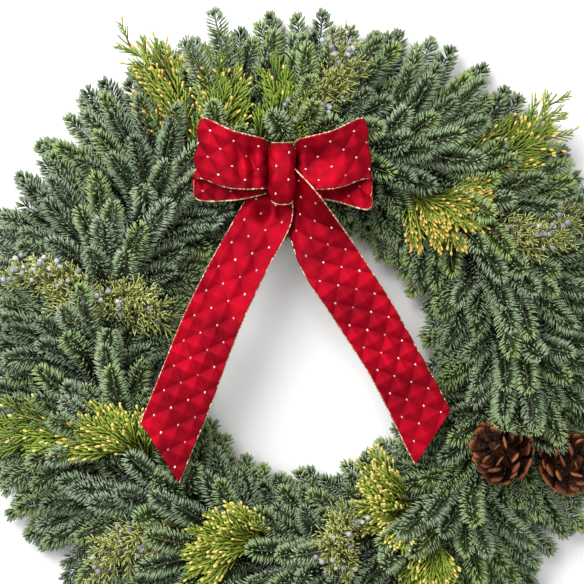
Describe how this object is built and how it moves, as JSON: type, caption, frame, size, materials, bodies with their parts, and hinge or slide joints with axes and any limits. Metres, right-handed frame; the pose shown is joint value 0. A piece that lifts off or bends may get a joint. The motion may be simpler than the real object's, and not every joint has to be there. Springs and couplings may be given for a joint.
{
  "type": "evergreen wreath",
  "caption": "Round wreath of fir, cedar and berried juniper on a wire clamp ring, with pine cones and a quilted ribbon bow whose tails hang over the hole.",
  "frame": {"origin": "middle of the ring, on the surface that the wreath lies on", "axes": "+Z out of the wreath's face, +Y towards its top, where the bow is, +X to its right as seen from the front"},
  "size_m": [0.7299, 0.7363, 0.13],
  "materials": {
    "fir": "waxy blue-green needles, paler beneath",
    "cedar": "yellow-green scale leaves, golden pollen cones",
    "juniper": "olive scale leaves, blue-grey bloomed berries",
    "cone": "dry red-brown scales with paler lips",
    "ribbon": "satin sheen, quilted in diamonds, gold wired edge",
    "ring_wire": "dark green painted steel wire",
    "floral_wire": "thin green painted wire"
  },
  "bodies": {
    "root": {"bow_loop_left": "ribbon", "bow_loop_right": "ribbon", "bow_tail_left": "ribbon", "bow_tail_right": "ribbon", "bow_knot": "ribbon", "bow_tie_wire": "floral_wire", "clamp_ring": "ring_wire", "pine_cone_1": "cone", "cone_wire_1": "floral_wire", "pine_cone_2": "cone", "cone_wire_2": "floral_wire", "cedar_spray_1": "cedar", "cedar_spray_2": "cedar", "cedar_spray_3": "cedar", "cedar_spray_4": "cedar", "cedar_spray_5": "cedar", "cedar_spray_6": "cedar", "cedar_spray_7": "cedar", "cedar_spray_8": "cedar", "cedar_spray_9": "cedar", "cedar_spray_10": "cedar", "juniper_spray_1": "juniper", "juniper_spray_2": "juniper", "juniper_spray_3": "juniper", "juniper_spray_4": "juniper", "juniper_spray_5": "juniper", "juniper_spray_6": "juniper", "fir_outer_1": "fir", "fir_inner_1": "fir", "fir_outer_2": "fir", "fir_inner_2": "fir", "fir_outer_3": "fir", "fir_inner_3": "fir", "fir_outer_4": "fir", "fir_inner_4": "fir", "fir_outer_5": "fir", "fir_inner_5": "fir", "fir_outer_6": "fir", "fir_inner_6": "fir", "fir_outer_7": "fir", "fir_inner_7": "fir", "fir_outer_8": "fir", "fir_inner_8": "fir", "fir_outer_9": "fir", "fir_inner_9": "fir", "fir_outer_10": "fir", "fir_inner_10": "fir", "fir_outer_11": "fir", "fir_inner_11": "fir", "fir_outer_12": "fir", "fir_inner_12": "fir", "fir_outer_13": "fir", "fir_inner_13": "fir", "fir_outer_14": "fir", "fir_inner_14": "fir", "fir_outer_15": "fir", "fir_inner_15": "fir", "fir_outer_16": "fir", "fir_inner_16": "fir"}
  },
  "joints": []
}
